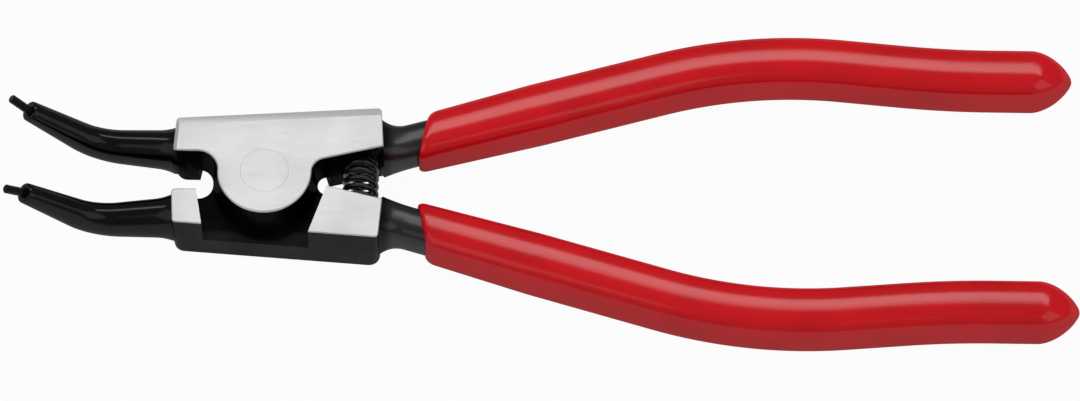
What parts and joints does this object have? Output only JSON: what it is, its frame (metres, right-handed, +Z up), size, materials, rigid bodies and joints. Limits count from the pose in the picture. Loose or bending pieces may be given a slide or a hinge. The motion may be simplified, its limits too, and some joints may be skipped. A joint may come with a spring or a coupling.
{
  "type": "external circlip pliers",
  "caption": "Bent-nose external circlip pliers: black lap-jointed levers with bright ground joint faces, slim tip pins, a coil return spring and red dipped plastic grips.",
  "frame": {"origin": "on the pivot axis, in the plane of the ground rear face that the tool lies on", "axes": "+X along the tool from the jaws to the handles, +Y to the upper lever, +Z up out of the front face, the way the jaws bend"},
  "size_m": [0.1823, 0.0584, 0.0197],
  "materials": {
    "forged_steel": "black burnished forging with bright ground joint faces",
    "ground_steel": "ground bright, flush",
    "spring_wire": "blackened spring wire",
    "tip_steel": "black hardened wire",
    "grip_plastic": "glossy red dip coating"
  },
  "bodies": {
    "lower_lever": {"lower_arm": "forged_steel", "lower_grip": "grip_plastic", "lower_tip": "tip_steel", "pivot_rivet": "ground_steel", "opening_spring": "spring_wire"},
    "upper_lever": {"upper_arm": "forged_steel", "upper_grip": "grip_plastic", "upper_tip": "tip_steel"}
  },
  "joints": [
    {"name": "pivot", "type": "hinge", "parent": "lower_lever", "child": "upper_lever", "pos_m": [0, 0, 0.0055], "axis": [0, 0, -1], "range_deg": [-15, 14], "stiffness_Nm_per_rad": 0.8, "deforming": ["opening_spring"]}
  ]
}
